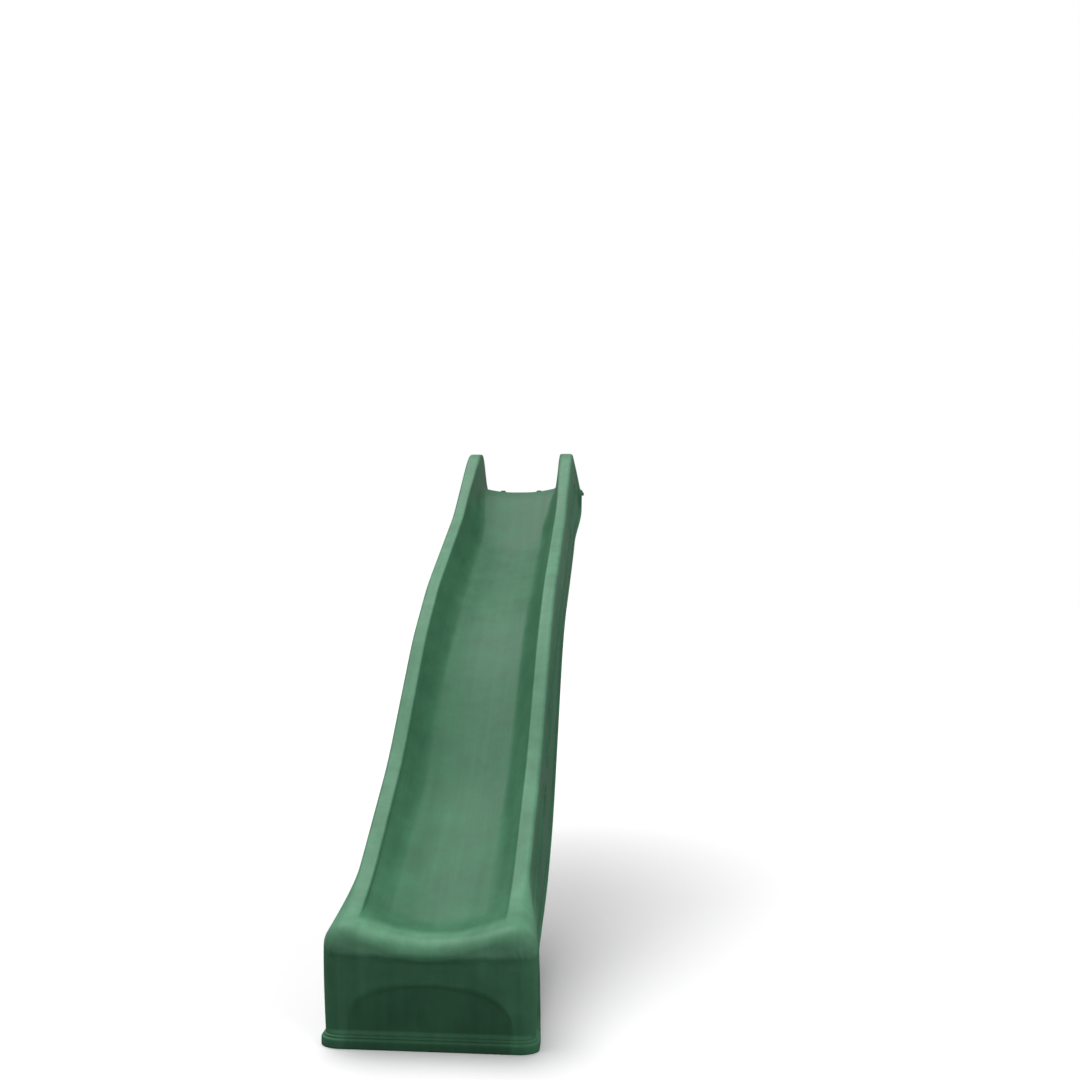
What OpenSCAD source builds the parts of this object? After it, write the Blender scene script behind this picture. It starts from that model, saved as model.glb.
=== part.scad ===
// Wave slide for a raised play deck: a hollow moulding of two plastic skins, held to the deck by
// four screws. Millimetres, +Z up, ground at z = 0, foot towards -Y, deck towards +Y, and the
// origin on the ground under the middle of the plan length.

/* [Deck and plan] */
// Height of the deck top above the ground
deck_h = 1500; // [1400:10:1600]
// Plan length from the front of the foot to the back of the deck plate
plan_l = 2440; // [2300:10:2600]
// Overall width over the bottom bead, at the foot and at the deck
overall_w = 540; // [520:5:560]
// How much the walls are waisted in on each side between the foot and the deck
waist = 11; // [6:1:14]

/* [Channel] */
// Width over the outer edges of the two rims
rim_outer_w = 458; // [440:2:470]
// Width of the flat top of each rim
rim_w = 46; // [36:1:56]
// Width of the flat part of the bed
bed_w = 190; // [180:2:210]
// Depth of the hollow across the bed
bed_dish = 13; // [4:1:20]

/* [Skins] */
// Thickness of the chute shell
shell_t = 3; // [2.5:0.5:5]
// Thickness of the underside skin
under_t = 3; // [2.5:0.5:5]
// Gap between the underside skin's edge and the bead
weld_gap = 0.3; // [0.2:0.1:1]

/* [Foot] */
// Radius of the front lip and of the foot's corners
nose_r = 42; // [34:1:50]
// How far the front wall leans back from the lip down to the ground
foot_lean = 19; // [10:1:24]
// How far the bottom bead stands out from the walls
bead_out = 11; // [8:1:14]
// Height of the bead round the foot
foot_bead_h = 26; // [20:1:32]
// Height of the bead along the sides
side_bead_h = 15; // [14:1:20]

/* [Deck fixing] */
// Distance between screws across the slide
screw_gap_x = 160; // [130:5:160]
// Distance between screws along the slide
screw_gap_y = 120; // [100:5:130]
// Screw shank diameter
screw_d = 6; // [5:0.5:6]
// Length of screw below the deck plate
screw_reach = 40; // [25:1:55]
// Washer outer diameter
washer_d = 18; // [14:1:18]
// Outer diameter of a screw cap
cap_d = 24; // [24:1:28]

/* [Hidden] */

$fn = 64;

// Side view at the standard length and deck height: straight runs that eased() rounds into one
// another. Each point is [distance from the foot's front, height].
std_l = 2440;
std_h = 1500;
plate_t = shell_t + under_t;
RIM = [[0, 300], [60, 304], [110, 318], [170, 340], [250, 380], [600, 604], [980, 950],
       [1240, 1118], [1820, 1390], [2180, 1636], [2280, 1684], [2340, 1672], [2400, 1590],
       [2440, 1530]];
BED = [[0, 264], [60, 264], [180, 280], [600, 496], [980, 820], [1240, 984], [1860, 1256],
       [2195, std_h + plate_t], [2440, std_h + plate_t]];
EDGE = [[0, 0], [104, 0], [122, 70], [150, 140], [196, 182], [480, 262], [720, 402], [960, 665],
        [1160, 885], [1320, 992], [1560, 1092], [1840, 1214], [2226, 1420], [2250, 1500],
        [2440, 1500]];
rim_ease = 36;
bed_ease = 56;
edge_ease = 70;
lip_end = 70;              // the foot's dished front lip ends here
channel_start = 160;       // and has turned into the full channel here
plate_start = 2234;        // the bed's lip starts to level out just before the deck
plate_flat = 2262;         // the deck plate is flat across from here

rim_out = rim_outer_w / 2;
rim_in = rim_out - rim_w;
rim_r = 12;                // rounding of the rim's edges
bead_x = overall_w / 2;
wall_x = bead_x - bead_out;
bed_x = bed_w / 2;
boxed_x = 128;             // half width of the bed at the deck, where the channel is square
boxed_toe_x = 158;         // there the bed meets the inner wall here
tip_in = 10;               // the ears' tips are this much wider inwards than the rims
nose_u = nose_r;
lean_z = 200;              // the front wall leans back below this height
shoulder_out = 36;         // at the foot the rim rolls this much further out
shoulder_r = 58;           // with this radius
waist_bead = 0.6;          // the side bead's share of its full width along the waist

screw_u = 2340;            // middle of the screw pattern
screw_r = screw_d / 2;
shank_r = screw_r - 0.3;   // the plain shank is thinner than the thread
screw_hole_r = screw_r + 0.5;
washer_t = 1.6;
head_r = screw_d;
head_h = 3.6;
cap_t = 1.4;
cap_h = 7.4;
plug_u = 1560;             // the vent plug's place along the underside
plug_r = 9;
plug_fit = 0.1;
plug_head_r = 14;
plug_head_h = 3;
plug_stem_h = 12;
plug_barb = 1.2;

// The standard side view stretched to the chosen length and deck height.
function yy(u) = (u / std_l - 0.5) * plan_l;
function zz(z) = z < std_h ? z * deck_h / std_h : z - std_h + deck_h;

function mix(a, b, t) = a + (b - a) * t;
function bend(a, b, c, t) = mix(mix(a, b, t), mix(b, c, t), t);
function ramp(u, from, to) =
    let (t = min(1, max(0, (u - from) / (to - from)))) t * t * (3 - 2 * t);

// Mean of a broken line over a window, which rounds its corners.
ease_n = 4;
function eased(u, line, w) =
    let (heights = [for (k = [-ease_n:ease_n]) lookup(u + k * w / ease_n, line)])
    heights * [for (h = heights) 1] / len(heights);

function rim_z(u) = eased(u, RIM, rim_ease);
function bed_z(u) = eased(u, BED, bed_ease);
function edge_z(u) = eased(u, EDGE, edge_ease * ramp(u, 200, 300) * (1 - ramp(u, 2080, 2150)));
function dish(u) = bed_dish * (1 - ramp(u, plate_start, plate_flat));
function bead_h(u) = mix(foot_bead_h, side_bead_h, ramp(u, lip_end, channel_start));
function footness(u) = 1 - ramp(u, 40, 260);
function boxiness(u) = ramp(u, 1900, 2200);
function breadth(u) = 1 - ramp(u, 60, 230) + ramp(u, 1950, 2200);
function rim_x(u) = rim_out + shoulder_out * footness(u);
function outer_r(u) = mix(rim_r, shoulder_r, footness(u));
function side_x(u) = wall_x - waist * (1 - breadth(u));
function side_bead(u) = bead_out * mix(waist_bead, 1, breadth(u));
function lean(z) = foot_lean * max(0, 1 - z / lean_z);

// Half outlines run as [x, z] points from the middle of the bed up the inner wall and over the
// rim, then down the outer wall to the bead. inset moves them to the skin's inside.
top_n = 14;                // last point of the bed, inner wall and rim
lip_n = 11;                // the rim's outer top edge
half_n = 19;               // last point, at the bottom of the bead
ring_n = 2 * half_n + 1;

function channel(u, inset) =
    let (top = rim_z(u) - inset, bed = bed_z(u) - inset, side = bed + dish(u),
         box = boxiness(u), flat_x = mix(bed_x, boxed_x, box), in_x = rim_in - tip_in * box,
         low = [flat_x, side],
         toe = [mix(mix(bed_x, rim_in, 0.42), boxed_toe_x, box) + inset, side + 3],
         up = [mix(mix(bed_x, rim_in, 0.62), boxed_toe_x + 4, box) + inset, mix(side, top, 0.36)],
         out_x = rim_x(u), r = outer_r(u))
    concat(
        [for (k = [0:4]) [flat_x * k / 4, bed + dish(u) * pow(k / 4, 2)]],
        [for (k = [1:3]) bend(low, toe, up, k / 3)],
        [[in_x + inset, top - rim_r], [in_x + inset + 3, top - 3],
         [in_x + inset + rim_r, top], [out_x - r - inset / 2, top],
         [out_x - inset - r * 0.5, top - r * 0.134], [out_x - inset - r * 0.134, top - r * 0.5],
         [out_x - inset, top - r]]);

// The same points where the foot's lip is one shallow dish from rim to rim.
function lip(u, inset) =
    let (top = rim_z(u) - inset, bed = bed_z(u) - inset, edge = rim_x(u) - outer_r(u))
    [for (p = channel(u, inset)) p.x < edge ? [p.x, mix(bed, top, pow(p.x / edge, 2.2))] : p];

function side_wall(u, inset) =
    let (top = rim_z(u) - outer_r(u) - inset, low = edge_z(u), x = side_x(u) - inset,
         bead = side_bead(u), bead_top = low + bead_h(u) - 0.7 * inset)
    concat(
        [for (k = [1:3]) [mix(rim_x(u) - inset, x, k / 3), mix(top, bead_top + 4, k / 3)]],
        [[x + bead, bead_top], [x + bead, low]]);

function half_outline(u, inset) =
    let (t = ramp(u, lip_end, channel_start), a = lip(u, inset), b = channel(u, inset))
    concat([for (k = [0:top_n]) mix(a[k], b[k], t)], side_wall(u, inset));

// One ring of the skin from left to right. turn falls from 90 at the front face to 0 where the
// nose ends, and carries the outline in and forward round a quarter circle.
function ring(u, turn, inset) =
    let (half = half_outline(u, inset))
    [for (j = [-half_n:half_n])
        let (k = abs(j), p = half[k], on_bead = k > half_n - 2,
             r = nose_r + (on_bead ? bead_out : 0) - inset,
             pull = r * (1 - cos(turn)),
             x = k > top_n ? p.x - pull : p.x * (1 - pull / rim_x(u)),
             z = k > top_n ? p.y : p.y - pull,
             y = u > nose_u ? u : nose_u - (r - lean(z)) * sin(turn))
        [sign(j) * x, yy(y), zz(z)]];

nose_steps = 4;
nose_turns = [for (i = [0:nose_steps]) 90 - 90 * i / nose_steps];
stations = concat(
    [56, 70, 88, 104, 112, 122, 136, 150, 172, 196, 224, 256],
    [for (u = [300:66:2180]) u],
    [2204, 2220, 2234, 2244, 2250, 2262, 2288, 2314, 2340, 2358, 2376, 2394, 2412, 2426, std_l]);
rings_n = len(nose_turns) + len(stations);

function skin(inset) = concat(
    [for (turn = nose_turns) ring(nose_u, turn, inset)],
    [for (u = stations) ring(u, 0, inset)]);

// The foot's front wall: rows from the ground up to the first ring's top, filled in between that
// ring's two sides. Its outer columns and its top row are the ring's own points.
front_rows = half_n - lip_n;
front_cols = lip_n - 1;
function front_wall(first) =
    let (mid = half_n, side = [for (r = [0:front_rows]) first[mid + half_n - r]],
         base = side[2].z, crest = side[front_rows])
    [for (r = [0:front_rows - 1], c = [-front_cols:front_cols])
        let (top = first[mid + c], rise = max(0, (side[r].z - base) / (crest.z - base)))
        [top.x * side[r].x / crest.x, side[r].y,
         r < 2 ? side[r].z : mix(base, top.z, rise)]];

// Faces, clockwise from outside. A skin's points are its rings and then its front wall.
function flat(lists) = [for (l = lists) each l];
function quad(a, b, c, d, flip) = flip ? [[a, c, b], [a, d, c]] : [[a, b, c], [a, c, d]];
function at_ring(i, j) = i * ring_n + j + half_n;
function at_front(r, c) =
    abs(c) == lip_n ? at_ring(0, sign(c) * (half_n - r)) :
    r == front_rows ? at_ring(0, c) :
    rings_n * ring_n + r * (2 * front_cols + 1) + c + front_cols;
function shift(faces, by) = [for (f = faces) [for (k = f) k + by]];
function skin_faces(flip) = concat(
    flat([for (i = [0:rings_n - 2], j = [-half_n:half_n - 1])
        quad(at_ring(i, j), at_ring(i + 1, j), at_ring(i + 1, j + 1), at_ring(i, j + 1), flip)]),
    flat([for (r = [0:front_rows - 1], c = [-lip_n:lip_n - 1])
        quad(at_front(r, c), at_front(r + 1, c), at_front(r + 1, c + 1), at_front(r, c + 1),
             flip)]));

// The open edge of a skin, as a path of point numbers: up the left side's bottom from the deck,
// across the front, back along the right side, and across the deck end.
function border() = concat(
    [for (i = [rings_n - 1:-1:0]) at_ring(i, -half_n)],
    [for (c = [-front_cols:front_cols]) at_front(0, c)],
    [for (i = [0:rings_n - 1]) at_ring(i, half_n)],
    [for (j = [half_n - 1:-1:-half_n + 1]) at_ring(rings_n - 1, j)]);
function seam(path, by) = flat([for (k = [0:len(path) - 1])
    let (a = path[k], b = path[(k + 1) % len(path)]) quad(a, b, b + by, a + by, false)]);

module screw_places() {
    for (i = [-1, 1], j = [-1, 1])
        translate([i * screw_gap_x / 2, yy(screw_u) + j * screw_gap_y / 2, deck_h])
            children();
}

module screw_holes() {
    screw_places() translate([0, 0, -plate_t]) cylinder(r = screw_hole_r, h = 4 * plate_t);
}

module chute_shell() {
    outer = flat(skin(0));
    inner = flat(skin(shell_t));
    front_out = front_wall(ring(nose_u, 90, 0));
    front_in = front_wall(ring(nose_u, 90, shell_t));
    by = len(outer) + len(front_out);
    color([0.26, 0.42, 0.34]) difference() {
        polyhedron(
            points = concat(outer, front_out, inner, front_in),
            faces = concat(skin_faces(false), shift(skin_faces(true), by), seam(border(), by)));
        screw_holes();
    }
}

// The underside skin: a sheet inside the bead, raised along its middle towards the bed.
function under_x(u) = side_x(u) + side_bead(u) - shell_t - weld_gap;
under_r = nose_r + bead_out - shell_t - weld_gap;
under_cols = [0, 42, 74, 160];
under_side = len(under_cols);
under_n = 2 * under_side + 1;
function hollow(u) = max(0, bed_z(u) - shell_t - edge_z(u) - under_t);
function rib(u) = 0.6 * hollow(u) * ramp(u, 260, 380) * (1 - ramp(u, 2080, 2200));
function slope(u, h) = atan2(h(u + 3) - h(u - 3), 6);
function rib_z(u) = edge_z(u) + rib(u);

// A row of the sheet. lift is 0 on its outer face and the skin's thickness on its inner face.
function sheet_row(u, turn, lift) =
    let (x_end = under_x(u) - under_r * (1 - cos(turn)),
         y = u - (under_r - foot_lean) * sin(turn))
    [for (j = [-under_side:under_side])
        let (k = abs(j), at_edge = k == under_side, h = k < 2 ? rib(y) : 0,
             tilt = at_edge ? 0 : slope(y, function (v) k < 2 ? rib_z(v) : edge_z(v)))
        [sign(j) * (at_edge ? x_end : under_cols[k]), yy(y - lift * sin(tilt)),
         zz(edge_z(y) + h + lift * cos(tilt))]];

module underside_skin() {
    rows = concat([for (turn = nose_turns) [nose_u, turn]],
                  [for (u = stations) [u, 0]]);
    low = flat([for (r = rows) sheet_row(r[0], r[1], 0)]);
    high = flat([for (r = rows) sheet_row(r[0], r[1], under_t)]);
    n = len(rows);
    by = len(low);
    function at(i, j) = i * under_n + j;
    sheet = flat([for (i = [0:n - 2], j = [0:under_n - 2])
        quad(at(i, j), at(i + 1, j), at(i + 1, j + 1), at(i, j + 1), false)]);
    path = concat([for (i = [n - 1:-1:0]) at(i, 0)],
                  [for (j = [1:under_n - 2]) at(0, j)],
                  [for (i = [0:n - 1]) at(i, under_n - 1)],
                  [for (j = [under_n - 2:-1:1]) at(n - 1, j)]);
    color([0.22, 0.37, 0.30]) difference() {
        polyhedron(points = concat(high, low),
                   faces = concat(sheet, shift([for (f = sheet) [f[0], f[2], f[1]]], by),
                                  seam(path, by)));
        screw_holes();
        plug_place() cylinder(r = plug_r, h = 8 * under_t, center = true);
    }
}

module deck_screws() {
    color([0.72, 0.73, 0.74]) screw_places() {
        translate([0, 0, -screw_reach]) cylinder(r = screw_r, h = screw_reach);
        cylinder(r = shank_r, h = plate_t + washer_t);
        translate([0, 0, -screw_reach - screw_d])
            cylinder(r1 = 0.4, r2 = screw_r, h = screw_d);
        translate([0, 0, plate_t + washer_t]) difference() {
            cylinder(r1 = head_r, r2 = head_r - 1, h = head_h);
            translate([0, 0, head_h / 2]) cylinder(r = screw_r * 0.7, h = head_h, $fn = 6);
        }
    }
}

module deck_washers() {
    color([0.76, 0.77, 0.78]) screw_places() translate([0, 0, plate_t]) difference() {
        cylinder(d = washer_d, h = washer_t);
        translate([0, 0, -washer_t]) cylinder(r = screw_r + 0.2, h = 3 * washer_t);
    }
}

module screw_caps() {
    color([0.20, 0.34, 0.27]) screw_places() translate([0, 0, plate_t]) difference() {
        union() {
            cylinder(d = cap_d, h = cap_h / 2);
            translate([0, 0, cap_h / 2]) cylinder(d1 = cap_d, d2 = cap_d - 7, h = cap_h / 2);
        }
        translate([0, 0, -cap_t]) cylinder(d = cap_d - 2 * cap_t, h = cap_h / 2 + cap_t);
        translate([0, 0, cap_h / 2 - cap_t])
            cylinder(d1 = cap_d - 2 * cap_t, d2 = cap_d - 7 - cap_t, h = cap_h / 2);
    }
}

// The vent plug lies square to the raised middle of the underside, with +Z into the hollow.
module plug_place() {
    translate([0, yy(plug_u), zz(rib_z(plug_u))])
        rotate([slope(plug_u, function (v) rib_z(v)), 0, 0])
            children();
}

module vent_plug() {
    color([0.20, 0.34, 0.27]) plug_place() {
        translate([0, 0, -plug_head_h]) cylinder(r1 = plug_head_r - 2, r2 = plug_head_r,
                                                 h = plug_head_h);
        cylinder(r = plug_r - plug_fit, h = under_t);
        translate([0, 0, under_t])
            cylinder(r1 = plug_r + plug_barb, r2 = plug_r - plug_barb, h = plug_stem_h - under_t);
    }
}

chute_shell();
underside_skin();
deck_screws();
deck_washers();
screw_caps();
vent_plug();
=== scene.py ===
"""Wave slide for a raised play deck: the looks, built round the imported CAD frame.

The chute's heights are read off the CAD shell by casting rays at it, and its cross-section is
drawn again at full resolution with the reliefs a moulding has. Metres, +Z up, foot towards -Y.
"""

import math

import bmesh
import bpy
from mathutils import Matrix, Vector
from mathutils.bvhtree import BVHTree


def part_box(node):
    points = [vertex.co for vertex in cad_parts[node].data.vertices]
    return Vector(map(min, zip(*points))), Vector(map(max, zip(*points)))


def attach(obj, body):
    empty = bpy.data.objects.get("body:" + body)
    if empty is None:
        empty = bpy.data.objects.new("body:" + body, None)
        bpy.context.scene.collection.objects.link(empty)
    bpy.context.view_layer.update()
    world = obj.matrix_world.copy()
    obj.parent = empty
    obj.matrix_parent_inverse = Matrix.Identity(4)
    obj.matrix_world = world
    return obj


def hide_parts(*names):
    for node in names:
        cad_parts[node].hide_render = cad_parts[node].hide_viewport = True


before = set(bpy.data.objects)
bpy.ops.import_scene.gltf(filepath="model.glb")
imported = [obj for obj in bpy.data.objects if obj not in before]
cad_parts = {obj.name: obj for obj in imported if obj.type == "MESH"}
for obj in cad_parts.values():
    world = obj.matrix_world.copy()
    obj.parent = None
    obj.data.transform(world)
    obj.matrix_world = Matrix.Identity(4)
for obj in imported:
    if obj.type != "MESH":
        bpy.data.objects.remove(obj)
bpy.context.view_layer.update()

# ---------------------------------------------------------------- the channel's driving sizes
FRONT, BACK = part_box("chute_shell")[0][1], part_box("chute_shell")[1][1]
BEAD_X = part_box("chute_shell")[1][0]    # half width over the bottom bead, at the foot

RIM_OUT, RIM_IN = 0.229, 0.183      # half width over the rims, and between them
RIM_R, RIM_IN_R = 0.012, 0.0065     # rounding of the rim's outer and inner edge
RIM_DROP = 0.010                    # the inner wall is straight up to this far below the rim
RIM_CREST = 0.6                     # the rim is highest at this share of its width
EDGE_FALL = 0.0003                  # and falls this much towards its outer edge
SHOULDER_OUT = 0.036                # at the foot the rim rolls this much further out
SHOULDER_R = 0.058                  # with this radius
NOSE_R = 0.042                      # rounding of the front lip and the foot's corners
LEAN, LEAN_Z = 0.019, 0.200         # the front wall leans back this far below this height
BED_X, BOXED_X = 0.095, 0.128       # half width of the bed's flat, and of it at the deck
TOE_X, BOXED_TOE_X = 0.132, 0.158   # where the bed turns up into the inner wall
TURN_R, BOXED_TURN_R = 0.045, 0.024     # and how widely it turns
TIP_IN = 0.010                      # the ears' tips are this much wider inwards
DISH = 0.013                        # depth of the hollow across the bed
VALLEY = 0.007                      # the bed dips this much behind the lip
SKIN = 0.003                        # thickness of the moulding
WAIST = 0.011                       # the walls stand this much further in between foot and deck
WALL_BULGE = 0.0015                 # and swell by this much halfway down
BEAD_OUT = 0.011                    # how far the bead stands out from the walls
WAIST_BEAD = 0.6                    # the share of that it keeps between the foot and the deck
BEAD_FOOT, BEAD_SIDE = 0.026, 0.015     # height of the bead round the foot and on the sides

# Stretches of the slide, in metres from the foot's front face.
SHOULDER_FADE = 0.040, 0.260            # the shoulders' roll fades out here
FOOT_FADE, DECK_FADE = (0.060, 0.230), (1.950, 2.200)   # the walls narrow, and widen again
BOXED_START, BOXED_FULL = 1.900, 2.200  # the channel turns from dished to boxed
LIP_END, CHANNEL_START = 0.070, 0.160   # the front lip turns into the channel
SIDE_BEAD_START = 0.230                 # the bead has its height on the sides from here
VALLEY_AT, VALLEY_REACH = 0.135, 0.065  # the middle of the dip behind the lip, half its length
HEEL_START, HEEL_END = 0.200, 2.114     # the bottom edge has no corners between these
PLATE_START, PLATE_FLAT = 2.234, 2.262  # the hollow across the bed fades out


# ---------------------------------------------------------------- small helpers
def mix(a, b, t):
    return a + (b - a) * t


def ramp(v, low, high):
    t = min(1.0, max(0.0, (v - low) / (high - low)))
    return t * t * (3 - 2 * t)


def bump(v, centre, half_width):
    """1 at the centre, falling smoothly to 0 at half_width on either side."""
    t = min(1.0, abs(v - centre) / half_width)
    return (1 - t * t) ** 2


def smoothed(values, reach, passes=2):
    """Each value becomes the mean of its neighbours up to reach places away; the ends stay."""
    for _ in range(passes):
        source = list(values)
        for i in range(len(source)):
            r = min(reach, i, len(source) - 1 - i)
            values[i] = sum(source[i - r:i + r + 1]) / (2 * r + 1)
    return values


def rounded(corners, steps):
    """A path of (x, z) points through corners given as (x, z, radius), each corner turned into a
    curve that starts and ends radius away from it."""
    path = []
    for k, (x, z, r) in enumerate(corners):
        here = Vector((x, z))
        if r <= 0 or k in (0, len(corners) - 1):
            path.append(here)
            continue
        before, after = Vector(corners[k - 1][:2]), Vector(corners[k + 1][:2])
        a = here + (before - here).normalized() * min(r, (before - here).length * 0.49)
        b = here + (after - here).normalized() * min(r, (after - here).length * 0.49)
        for s in range(steps + 1):
            t = s / steps
            path.append(a.lerp(here, t).lerp(here.lerp(b, t), t))
    return path


def spread(path, count):
    """count + 1 points evenly spaced along a path."""
    lengths = [0.0]
    for a, b in zip(path, path[1:]):
        lengths.append(lengths[-1] + (b - a).length)
    points, k = [], 0
    for s in range(count + 1):
        want = lengths[-1] * s / count
        while k < len(path) - 2 and lengths[k + 1] < want:
            k += 1
        step = lengths[k + 1] - lengths[k]
        points.append(path[k].lerp(path[k + 1], (want - lengths[k]) / step if step else 0.0))
    return points


# ---------------------------------------------------------------- lines read off the CAD shell
STATION_STEP = 0.009
LENGTH = BACK - FRONT - NOSE_R
STRETCHES = round(LENGTH / STATION_STEP)
STATIONS = [NOSE_R + LENGTH * k / STRETCHES for k in range(STRETCHES + 1)]


# Each of the next three is 0 or 1 along most of the slide, and changes smoothly in between.
def footness(u):
    return 1 - ramp(u, *SHOULDER_FADE)


def boxiness(u):
    return ramp(u, BOXED_START, BOXED_FULL)


def breadth(u):
    return 1 - ramp(u, *FOOT_FADE) + ramp(u, *DECK_FADE)


def bead_out(u):
    return BEAD_OUT * mix(WAIST_BEAD, 1, breadth(u))


def read_lines():
    """Rim, bed and bottom edge heights and the half width at the bottom, at every station."""
    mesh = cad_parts["chute_shell"].data
    tree = BVHTree.FromPolygons([v.co for v in mesh.vertices],
                                [p.vertices for p in mesh.polygons])
    edge_on, above, below = 1e-4, 3.0, -1.0
    on_rim = mix(RIM_IN, RIM_OUT, RIM_CREST)

    def cast(start, way):
        return tree.ray_cast(Vector(start), Vector(way))[0]

    rim, bed, edge, side = [], [], [], []
    for u in STATIONS:
        y = FRONT + min(max(u, NOSE_R + edge_on), BACK - FRONT - edge_on)
        rim.append(cast((on_rim, y, above), (0, 0, -1)).z)
        bed.append(cast((edge_on, y, above), (0, 0, -1)).z)
        side.append(BEAD_X - BEAD_OUT - WAIST * (1 - breadth(u)) + bead_out(u))
        edge.append(cast((side[-1] - SKIN / 2, y, below), (0, 0, 1)).z)
    return rim, bed, edge, side


RIM, BED, EDGE, SIDE = read_lines()
smoothed(RIM, reach=2)
smoothed(BED, reach=4)
heel = [i for i, u in enumerate(STATIONS) if HEEL_START < u < HEEL_END]
EDGE[heel[0]:heel[-1]] = smoothed(EDGE[heel[0]:heel[-1]], reach=5)


# ---------------------------------------------------------------- the chute's cross-section
BED_STEPS, TURN_STEPS, INNER_STEPS, RIM_STEPS, WALL_STEPS = 12, 14, 9, 22, 84
FLAT_RIM_STEPS = 15                     # of RIM_STEPS, those before the outer roll
CORNER_STEPS, ROLL_STEPS = 6, 16        # points of a curve before it is spread evenly


def channel_half(u, top, bed):
    """Half of the inside of the channel and its rim, as (x, z) points from the middle out."""
    box, foot = boxiness(u), footness(u)
    side = bed + DISH * (1 - ramp(u, PLATE_START, PLATE_FLAT))
    flat_x, in_x = mix(BED_X, BOXED_X, box), RIM_IN - TIP_IN * box
    floor = [Vector((flat_x * k / BED_STEPS, mix(bed, side, (k / BED_STEPS) ** 2)))
             for k in range(BED_STEPS)]
    # The turn's corner lies near the line that goes on from the flat, a little less steeply.
    toe_x, slope = mix(TOE_X, BOXED_TOE_X, box), 2 * (side - bed) / flat_x
    toe = (toe_x + 0.004, side + 0.003 + 0.75 * slope * (toe_x - flat_x))
    wall_top = (in_x - 0.001, top - RIM_DROP, 0)
    turn = rounded([(flat_x, side, 0), (*toe, mix(TURN_R, BOXED_TURN_R, box)), wall_top],
                   ROLL_STEPS)
    r = mix(RIM_R, SHOULDER_R, foot)
    roll_x, roll_z = RIM_OUT + SHOULDER_OUT * foot - r, top - EDGE_FALL
    flat = rounded([wall_top, (in_x + 0.0005, top - 2 * EDGE_FALL, RIM_IN_R),
                    (mix(in_x, roll_x, RIM_CREST), top, 0.006), (roll_x, roll_z, 0)],
                   CORNER_STEPS)
    turns = [math.radians(90 * k / ROLL_STEPS) for k in range(ROLL_STEPS + 1)]
    roll = [Vector((roll_x + r * math.sin(t), roll_z - (r - EDGE_FALL) * (1 - math.cos(t))))
            for t in turns]
    return (floor + spread(turn, TURN_STEPS + INNER_STEPS)[:-1]
            + spread(flat, FLAT_RIM_STEPS)[:-1] + spread(roll, RIM_STEPS - FLAT_RIM_STEPS))


TOP_COUNT = BED_STEPS + TURN_STEPS + INNER_STEPS + RIM_STEPS + 1
RIM_EDGE = TOP_COUNT - 1 - (RIM_STEPS - FLAT_RIM_STEPS)     # where the outer roll starts

LIP_BEND = 0.35                         # how much the lip's dish levels out towards the rims


def lip_half(channel, bed):
    """The same points where the foot's lip is one shallow dish from rim to rim."""
    edge = channel[RIM_EDGE]

    def rise(t):
        return t * t * (1 + LIP_BEND - LIP_BEND * t ** 6)

    return [Vector((p.x, mix(bed, edge.y, rise(p.x / edge.x)))) if k < RIM_EDGE else p.copy()
            for k, p in enumerate(channel)]


# Panels on the outer wall: start and end along the slide, top and bottom below the rim.
PANELS = ((0.085, 0.620, 0.079, 0.112), (0.690, 2.160, 0.070, 0.118))
RIDGE_OUT, RIDGE_HALF = 0.0042, 0.0055  # the ridge round a panel
PANEL_IN = 0.0020                       # the panel inside it is set back
FOLD_OUT, FOLD_HALF = 0.0016, 0.010     # a soft fold along the wall's lower part
FOLD_UP = 0.052                         # this high above the bottom edge
FOLD_START, FOLD_END = (0.20, 0.26), (0.90, 1.10)       # along the slide
RELIEF_START, RELIEF_END = (0.04, 0.10), (0.93, 0.99)   # all of it fades out at the rim and bead


def panel_relief(u, below, start, end, high, low):
    """A long panel with round ends, set back inside the rounded ridge along its outline."""
    half_l, half_h = (end - start) / 2, (low - high) / 2
    du = abs(u - (start + end) / 2) - (half_l - half_h)
    dz = abs(below - (high + low) / 2)
    away = math.hypot(max(du, 0.0), dz) - half_h
    return RIDGE_OUT * bump(away, 0.0, RIDGE_HALF) - PANEL_IN * ramp(-away, 0.0, RIDGE_HALF)


def wall_relief(u, below, height):
    """How far a place on the outer wall, below the rim, stands out from it, in metres."""
    fold = bump(below, height - FOLD_UP, FOLD_HALF)
    fold *= ramp(u, *FOLD_START) * (1 - ramp(u, *FOLD_END))
    return sum(panel_relief(u, below, *panel) for panel in PANELS) + FOLD_OUT * fold


BEAD = [(0.00, 1.17), (0.10, 1.15), (0.30, 1.13), (0.42, 1.08), (0.45, 1.01), (0.42, 0.95),
        (0.46, 0.915), (0.70, 0.905), (0.88, 0.87), (0.97, 0.79), (1.00, 0.66), (1.00, 0.16),
        (0.97, 0.05), (0.88, 0.00)]     # outwards and upwards, as shares of the bead


def wall_half(u, start, low, side):
    """The outer wall and the double bottom bead, from the rim's outer roll down."""
    out, bead = bead_out(u), mix(BEAD_FOOT, BEAD_SIDE, ramp(u, LIP_END, SIDE_BEAD_START))
    end = Vector((side - out, low + bead * 1.2))
    rim_z = start.y + RIM_R
    wall = []
    for k in range(1, WALL_STEPS + 1):
        t = k / WALL_STEPS
        p = start.lerp(end, t)
        fade = ramp(t, *RELIEF_START) * (1 - ramp(t, *RELIEF_END))
        p.x += fade * wall_relief(u, rim_z - p.y, rim_z - low) + WALL_BULGE * 4 * (t - t * t)
        wall.append(p)
    return wall + [Vector((end.x + out * a, low + bead * b)) for a, b in BEAD]


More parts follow.
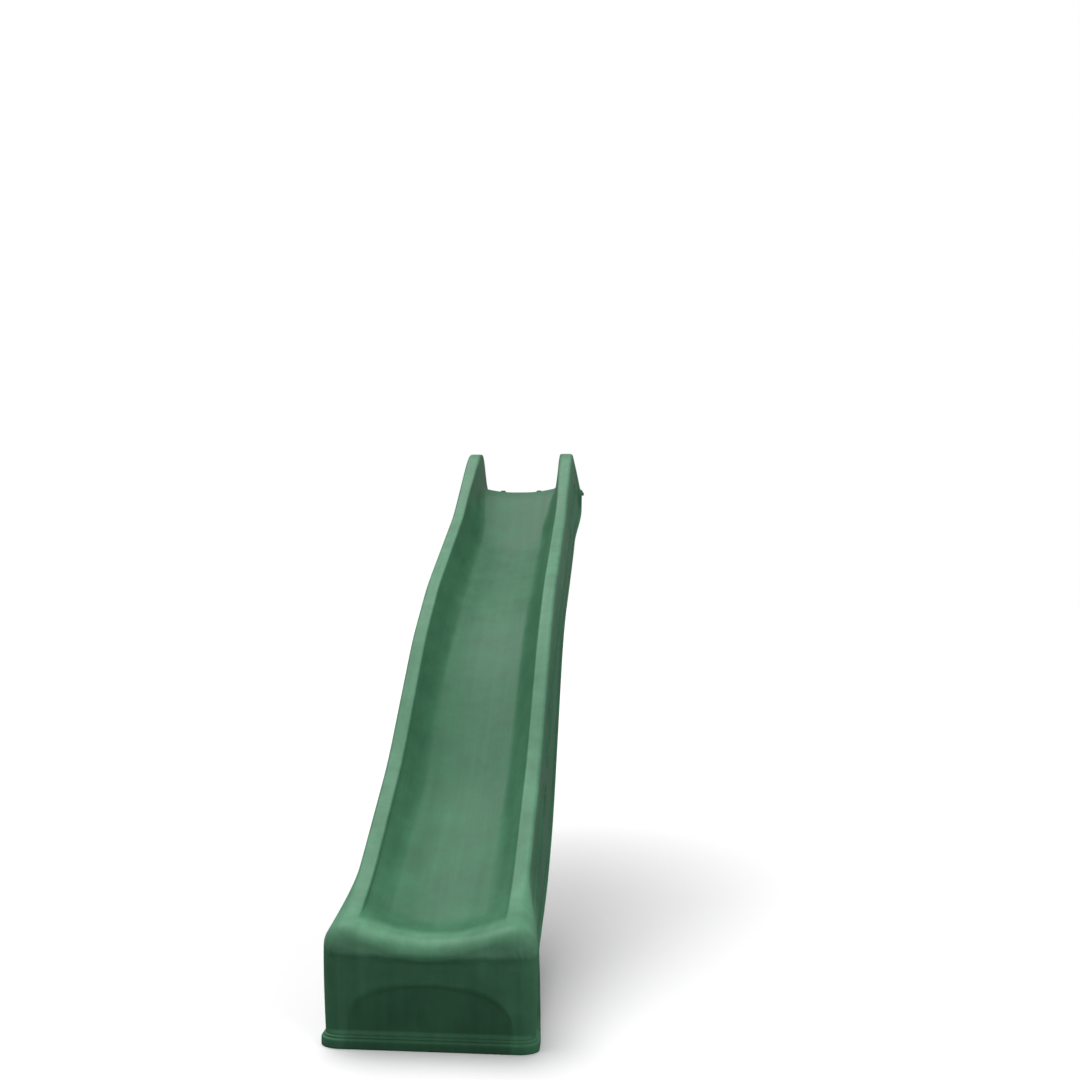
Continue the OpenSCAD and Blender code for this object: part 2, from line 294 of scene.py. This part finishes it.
HALF = TOP_COUNT + WALL_STEPS + len(BEAD) - 1   # last index of a half outline
WALL_END = TOP_COUNT + WALL_STEPS - 1           # last point above the bead


def half_outline(i):
    """Half of the chute's section at a station, from the middle of the bed to the bottom bead."""
    u = STATIONS[i]
    bed = BED[i] - VALLEY * bump(u, VALLEY_AT, VALLEY_REACH)
    channel = channel_half(u, RIM[i], bed)
    t = ramp(u, LIP_END, CHANNEL_START)
    section = [a.lerp(b, t) for a, b in zip(lip_half(channel, bed), channel)]
    return section + wall_half(u, section[-1], EDGE[i], SIDE[i])


NOSE_STEPS = 18
LIP_STEP = 0.0060                   # the lip's roll overhangs the front wall by this much
STEP_EDGE = -0.0005, 0.0030         # where the step under it starts and ends, below the crease
CREASE_Z, CREASE_RISE = 0.218, 0.019    # height of that crease, and its rise at the sides
WALL_X = 0.210                      # half width of the front wall's flat
ARCH_IN = 0.0024                    # depth of the arch on the front wall
ARCH_X, ARCH_TOP = 0.208, 0.162     # its half width and height
ARCH_FOOT, ARCH_EDGE = 0.020, 0.014     # its sides stand up straight from here; width of its edge


def front_relief(x, z):
    """How far the foot's front wall is set back: by the step under the lip's roll and by the
    shallow arch."""
    crease = CREASE_Z + CREASE_RISE * min(1.0, abs(x) / WALL_X) ** 2
    across = max(0.0, 1 - (x / ARCH_X) ** 2)
    arch_top = ARCH_FOOT + (ARCH_TOP - ARCH_FOOT) * across ** 0.30
    inside = ramp(arch_top - z, 0.0, ARCH_EDGE) * ramp(WALL_X - abs(x), 0.0, ARCH_EDGE)
    above_bead = ramp(z, BEAD_FOOT * 1.25, BEAD_FOOT * 1.6)
    return above_bead * (LIP_STEP * ramp(crease - z, *STEP_EDGE) + ARCH_IN * inside)


CORNER_FADE = math.radians(12), math.radians(70)    # that relief fades out round the corners


def lean(z):
    """How far the front wall has leant back at this height."""
    return LEAN * max(0.0, 1 - z / LEAN_Z)


def ring(half, u, turn):
    """A whole ring from left to right; turn runs from 90 degrees at the front face to 0."""
    points = []
    in_front = ramp(turn, *CORNER_FADE)
    for j in range(-HALF, HALF + 1):
        k = abs(j)
        p = half[k]
        r = NOSE_R + (max(0.0, p.x - half[WALL_END].x) if k > WALL_END else 0.0)
        pull = r * (1 - math.cos(turn))
        x = p.x - pull if k >= TOP_COUNT else p.x * (1 - pull / half[TOP_COUNT - 1].x)
        z = p.y - pull * min(1.0, max(0.0, (WALL_END - k) / WALL_STEPS))
        back = in_front * front_relief(x, z) if RIM_EDGE - 2 <= k <= WALL_END else 0.0
        points.append(Vector((math.copysign(x - back * math.cos(turn), j),
                              FRONT + u - (r - lean(z) - back) * math.sin(turn), z)))
    return points


def front_rows(first):
    """The front wall between the first ring's two sides, row by row from the ground up."""
    side = [first[HALF + k] for k in range(HALF, RIM_EDGE - 1, -1)]
    beads = len(BEAD)
    base = side[beads - 1].z
    crest = side[-1]
    rows = []
    for r, s in enumerate(side[:-1]):
        row = []
        rise = max(0.0, (s.z - base) / (crest.z - base))
        for c in range(-RIM_EDGE + 1, RIM_EDGE):
            top = first[HALF + c]
            x = top.x * s.x / crest.x
            z = s.z if r < beads else mix(base, top.z, rise)
            y = s.y if r < beads else FRONT + lean(z) + front_relief(x, z)
            row.append(Vector((x, y, z)))
        rows.append(row)
    return rows


def chute_mesh():
    """The outside of the chute shell, ring by ring, with the foot's front wall filled in."""
    bm = bmesh.new()
    halves = [half_outline(i) for i in range(len(STATIONS))]
    turns = [math.radians(90 * (1 - i / NOSE_STEPS)) for i in range(NOSE_STEPS)]
    rings = [ring(halves[0], NOSE_R, t) for t in turns]
    rings += [ring(h, u, 0.0) for h, u in zip(halves, STATIONS)]
    grid = [[bm.verts.new(p) for p in points] for points in rings]
    for a, b in zip(grid, grid[1:]):
        for j in range(2 * HALF):
            bm.faces.new((a[j], a[j + 1], b[j + 1], b[j]))
    rows = [[bm.verts.new(p) for p in row] for row in front_rows(rings[0])]
    first = grid[0]
    full = [[first[r]] + row + [first[2 * HALF - r]] for r, row in enumerate(rows)]
    full.append(first[HALF - RIM_EDGE:HALF + RIM_EDGE + 1])
    for low, high in zip(full, full[1:]):
        for c in range(len(low) - 1):
            bm.faces.new((low[c], low[c + 1], high[c + 1], high[c]))
    for side in (-1, 1):            # the ears' ends beside the deck opening are closed
        bm.faces.new([grid[-1][HALF + side * k] for k in range(BED_STEPS, HALF + 1)])
    bmesh.ops.recalc_face_normals(bm, faces=bm.faces)
    return bm


def finish_piece(bm, name):
    mesh = bpy.data.meshes.new(name)
    bm.to_mesh(mesh)
    bm.free()
    for p in mesh.polygons:
        p.use_smooth = len(p.vertices) == 4
    piece = bpy.data.objects.new(name, mesh)
    bpy.context.scene.collection.objects.link(piece)
    return piece


def apply_modifiers(piece):
    bpy.context.view_layer.objects.active = piece
    with bpy.context.temp_override(object=piece, active_object=piece, selected_objects=[piece]):
        for m in list(piece.modifiers):
            bpy.ops.object.modifier_apply(modifier=m.name)


# ---------------------------------------------------------------- materials
def new_material(name):
    material = bpy.data.materials.new(name)
    material.use_nodes = True
    return material


class Nodes:
    """A material's nodes, with a short call for each kind of node that is added."""

    def __init__(self, material):
        self.material, self.tree = material, material.node_tree
        self.shader = self.tree.nodes["Principled BSDF"]

    def add(self, kind, inputs=None, **settings):
        node = self.tree.nodes.new(kind)
        for key, value in settings.items():
            setattr(node, key, value)
        for key, value in (inputs or {}).items():
            if isinstance(value, bpy.types.NodeSocket):
                self.tree.links.new(value, node.inputs[key])
            else:
                node.inputs[key].default_value = value
        return node

    def ramp(self, value, low, high, out_low=0.0, out_high=1.0):
        return self.add("ShaderNodeMapRange", {"Value": value, "From Min": low, "From Max": high,
                                               "To Min": out_low, "To Max": out_high}).outputs[0]

    def blend(self, factor, a, b):
        node = self.add("ShaderNodeMix", data_type="RGBA")
        for index, value in ((0, factor), (6, a), (7, b)):
            if isinstance(value, bpy.types.NodeSocket):
                self.tree.links.new(value, node.inputs[index])
            else:
                node.inputs[index].default_value = value
        return node.outputs[2]

    def colour_in(self, value):
        self.tree.links.new(value, self.shader.inputs["Base Color"])

    def math(self, operation, a, b=0.0):
        return self.add("ShaderNodeMath", {0: a, 1: b}, operation=operation).outputs[0]

    def noise(self, vector, scale, detail, roughness):
        return self.add("ShaderNodeTexNoise", {"Vector": vector, "Scale": scale, "Detail": detail,
                                               "Roughness": roughness}).outputs["Fac"]

    def between(self, noise, out_low, out_high):
        """A noise, most of which lies between 0.3 and 0.7, brought between two other values."""
        return self.ramp(noise, 0.3, 0.7, out_low, out_high)

    def stretched(self, scale):
        place = self.add("ShaderNodeTexCoord").outputs["Object"]
        return self.add("ShaderNodeMapping", {"Vector": place, "Scale": scale}).outputs[0]

    def place(self):
        """The place on the object, as a vector and as x, y and z."""
        place = self.add("ShaderNodeTexCoord").outputs["Object"]
        return place, *self.add("ShaderNodeSeparateXYZ", {"Vector": place}).outputs


def shade(base, share, lift=0.0):
    """A lighter or darker colour, with the alpha that a colour input takes."""
    return [c * share + lift for c in base] + [1]


GREEN, DEEP_GREEN = (0.062, 0.200, 0.108), (0.052, 0.168, 0.090)
ZINC, WASHER_ZINC = (0.62, 0.63, 0.64), (0.68, 0.69, 0.70)
CLOUDS, SPECKS, GRAIN = 9.0, 160.0, 900.0   # patches, specks and grain, in cells per metre
STREAKS = (38, 2.2, 2.2)                # the flow streaks run along the slide
WAVES = (7, 1.6, 1.6)                   # and so do the soft waves in its surface
DARKEST, PALEST, SCUFFED = 0.76, 1.18, 1.40     # shares of the base colour


def moulded_plastic(name, base, rough=0.42):
    """Through-coloured satin polyethylene: faint cloudy patches and flow streaks in the colour,
    paler scuffs, and a fine moulded grain."""
    n = Nodes(new_material(name))
    place = n.stretched((1, 1, 1))
    clouds = n.noise(place, CLOUDS, 6.0, 0.62)
    streaks = n.noise(n.stretched(STREAKS), 1.0, 4.0, 0.6)
    specks = n.noise(place, SPECKS, 3.0, 0.6)
    mottle = n.math("ADD", n.between(clouds, 0.0, 0.72),
                    n.ramp(streaks, 0.35, 0.68, 0.0, 0.28))
    colour = n.blend(mottle, shade(base, DARKEST), shade(base, PALEST, 0.003))
    scuff = n.math("MULTIPLY", n.ramp(specks, 0.56, 0.72), n.ramp(clouds, 0.5, 0.75, 0.0, 0.2))
    n.colour_in(n.blend(scuff, colour, shade(base, SCUFFED, 0.012)))
    rough_map = n.math("ADD", n.between(clouds, rough - 0.05, rough + 0.06),
                       n.ramp(specks, 0.4, 0.7, -0.02, 0.04))
    n.tree.links.new(rough_map, n.shader.inputs["Roughness"])
    soft = n.add("ShaderNodeBump", {"Strength": 0.2, "Distance": 0.003,
                                    "Height": n.noise(n.stretched(WAVES), 1.0, 2.0, 0.4)})
    fine = n.add("ShaderNodeBump", {"Strength": 0.10, "Distance": 0.0004,
                                    "Height": n.noise(place, GRAIN, 2.0, 0.5),
                                    "Normal": soft.outputs[0]})
    n.tree.links.new(fine.outputs[0], n.shader.inputs["Normal"])
    n.shader.inputs["IOR"].default_value = 1.45
    n.shader.inputs["Specular IOR Level"].default_value = 0.16
    return n.material


ARCH_BEND = 3.2                         # how square the arch's shoulders are
ARCH_SHADE = 0.72                       # brightness of the painted shade inside the arch
PAINTED_LIGHT_Z = 0.226                          # the lip is painted lighter above this height
PAINTED_LIGHT_PALER, PAINTED_LIGHT_GREY = 0.60, 0.87      # brightness added by the painted light on the rims and lip, and saturation left


def arch_shade_mask(n):
    """Where painted shade darkens the arch on the foot's front wall: 1 inside it, 0 elsewhere,
    from the place on the object.
    """
    place, x, y, z = n.place()
    across = n.math("POWER", n.math("DIVIDE", n.math("ABSOLUTE", x), ARCH_X - 0.001), ARCH_BEND)
    up = n.math("POWER", n.math("DIVIDE", z, ARCH_TOP + 0.001), ARCH_BEND)
    wobble = n.between(n.noise(place, 30.0, 3.0, 0.6), -0.05, 0.05)
    away = n.math("ADD", n.math("ADD", across, up), wobble)
    front = n.ramp(y, FRONT + 0.034, FRONT + 0.028)
    return n.math("MULTIPLY", n.ramp(away, 1.08, 0.86), front)


def painted_light_mask(n):
    """1 on the rims and the foot's lip, painted paler as painted light on these upward-facing
    surfaces.
    """
    place, x, y, z = n.place()
    across = n.math("ABSOLUTE", x)
    rims = n.math("MULTIPLY", n.ramp(across, RIM_IN - 0.003, RIM_IN + 0.005),
                  n.ramp(across, RIM_OUT + 0.003, RIM_OUT - 0.005))
    foot_rims = n.math("MULTIPLY", n.ramp(y, FRONT + 0.30, FRONT + 0.20),
                       n.ramp(across, RIM_IN - 0.003, RIM_IN + 0.017))
    lip = n.math("MULTIPLY", n.ramp(y, FRONT + 0.085, FRONT + 0.055),
                 n.ramp(z, PAINTED_LIGHT_Z, PAINTED_LIGHT_Z + 0.012))
    high = n.ramp(z, PAINTED_LIGHT_Z, PAINTED_LIGHT_Z + 0.014)
    painted_light = n.math("MAXIMUM", lip, n.math("MULTIPLY", high, n.math("MAXIMUM", rims, foot_rims)))
    patches = n.between(n.noise(place, 22.0, 4.0, 0.6), 0.75, 1.0)
    return n.math("MULTIPLY", painted_light, patches)


def chute_plastic():
    """The moulded plastic, with painted light making the rims and lip paler, and painted shade
    darkening the front wall inside the arch."""
    n = Nodes(moulded_plastic("green moulded plastic", GREEN))
    colour = n.shader.inputs["Base Color"].links[0].from_socket
    # painted light: the upward-facing rims and lip are made paler
    painted_light = painted_light_mask(n)
    # painted shade darkens the front wall inside the arch
    value = n.math("ADD", n.ramp(arch_shade_mask(n), 0.0, 1.0, 1.0, ARCH_SHADE),
                   n.math("MULTIPLY", painted_light, PAINTED_LIGHT_PALER))
    n.colour_in(n.add("ShaderNodeHueSaturation",
                      {"Value": value, "Saturation": n.ramp(painted_light, 0.0, 1.0, 1.0, PAINTED_LIGHT_GREY),
                       "Color": colour}).outputs[0])
    return n.material


def zinc_plate(name, base):
    """Bright plated steel with fine crystals in its brightness and gloss."""
    n = Nodes(new_material(name))
    spangle = n.noise(n.stretched((1, 1, 1)), 420.0, 3.0, 0.6)
    n.colour_in(n.blend(n.between(spangle, 0.0, 1.0), shade(base, 0.82), shade(base, 1.0)))
    n.tree.links.new(n.between(spangle, 0.22, 0.4), n.shader.inputs["Roughness"])
    fine = n.add("ShaderNodeBump", {"Strength": 0.15, "Distance": 0.0003, "Height": spangle})
    n.tree.links.new(fine.outputs[0], n.shader.inputs["Normal"])
    n.shader.inputs["Metallic"].default_value = 1.0
    return n.material


def paint(node, material):
    """Gives one of the CAD's own nodes its material."""
    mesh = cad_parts[node].data
    mesh.materials.clear()
    mesh.materials.append(material)


def build_chute():
    """The chute's own mesh, with its skin's thickness, in place of the CAD shell."""
    piece = finish_piece(chute_mesh(), "chute")
    solid = piece.modifiers.new("skin", "SOLIDIFY")
    solid.thickness = SKIN
    solid.offset = -1.0
    apply_modifiers(piece)
    piece.data.materials.append(chute_plastic())
    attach(piece, "root")
    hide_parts("chute_shell")


FLOOR_SEEN, FLOOR_BOUNCE = 0.99, 0.20     # the floor is seen pale but throws back less light
BACKDROP, FILL = 1.0, 0.32                # the same for the plain backdrop around it
KEY, KEY_SPREAD = 2.4, 50                 # one broad light, soft enough to leave faint shadows,
KEY_FROM = (-0.26, 0.18, 0.95)            # from above, a little behind and to the left
SIDE_LIGHT, SIDE_SPREAD = 0.66, 50        # and a weaker one
SIDE_FROM = (0.80, -0.45, 0.40)           # from the front right


def add_floor():
    bpy.ops.mesh.primitive_plane_add(size=60, location=(0, 0, 0))
    floor = bpy.context.active_object
    floor.name = "floor"
    n = Nodes(new_material("pale floor"))
    seen = n.add("ShaderNodeLightPath").outputs["Is Camera Ray"]
    n.colour_in(n.ramp(seen, 0.0, 1.0, FLOOR_BOUNCE, FLOOR_SEEN))
    n.shader.inputs["Roughness"].default_value = 0.9
    n.shader.inputs["Specular IOR Level"].default_value = 0.0
    floor.data.materials.append(n.material)


def add_backdrop():
    world = bpy.data.worlds.new("studio")
    bpy.context.scene.world = world
    world.use_nodes = True
    tree = world.node_tree
    back = tree.nodes["Background"]
    back.inputs["Color"].default_value = (1, 1, 1, 1)
    path = tree.nodes.new("ShaderNodeLightPath")
    mapped = tree.nodes.new("ShaderNodeMapRange")
    mapped.inputs["To Min"].default_value, mapped.inputs["To Max"].default_value = FILL, BACKDROP
    tree.links.new(path.outputs["Is Camera Ray"], mapped.inputs["Value"])
    tree.links.new(mapped.outputs[0], back.inputs["Strength"])


def add_lights():
    for name, energy, spread, way in (("key panel", KEY, KEY_SPREAD, KEY_FROM),
                                      ("side panel", SIDE_LIGHT, SIDE_SPREAD, SIDE_FROM)):
        light = bpy.data.lights.new(name, "SUN")
        light.energy, light.angle = energy, math.radians(spread)
        lamp = bpy.data.objects.new(name, light)
        lamp.rotation_euler = Vector(way).to_track_quat("Z", "Y").to_euler()
        bpy.context.scene.collection.objects.link(lamp)


LENS, SENSOR = 38.33, 36.0                  # millimetres
CAMERA_AT = (0.5065, FRONT - 2.772, 1.172)
CAMERA_TILT, CAMERA_TURN = 91.39, 4.786     # degrees up from straight down, and to the left


def add_camera():
    data = bpy.data.cameras.new("camera")
    data.lens, data.sensor_width = LENS, SENSOR
    cam = bpy.data.objects.new("camera", data)
    cam.location = CAMERA_AT
    cam.rotation_euler = (math.radians(CAMERA_TILT), 0, math.radians(CAMERA_TURN))
    bpy.context.scene.collection.objects.link(cam)
    bpy.context.scene.camera = cam


add_camera()
add_floor()
add_backdrop()
add_lights()
bpy.context.scene.view_settings.view_transform = "Standard"
build_chute()
paint("underside_skin", moulded_plastic("green underside plastic", DEEP_GREEN, 0.5))
paint("screw_caps", moulded_plastic("green cap plastic", DEEP_GREEN, 0.38))
paint("vent_plug", moulded_plastic("green plug plastic", DEEP_GREEN, 0.4))
paint("deck_screws", zinc_plate("zinc screw", ZINC))
paint("deck_washers", zinc_plate("zinc washer", WASHER_ZINC))
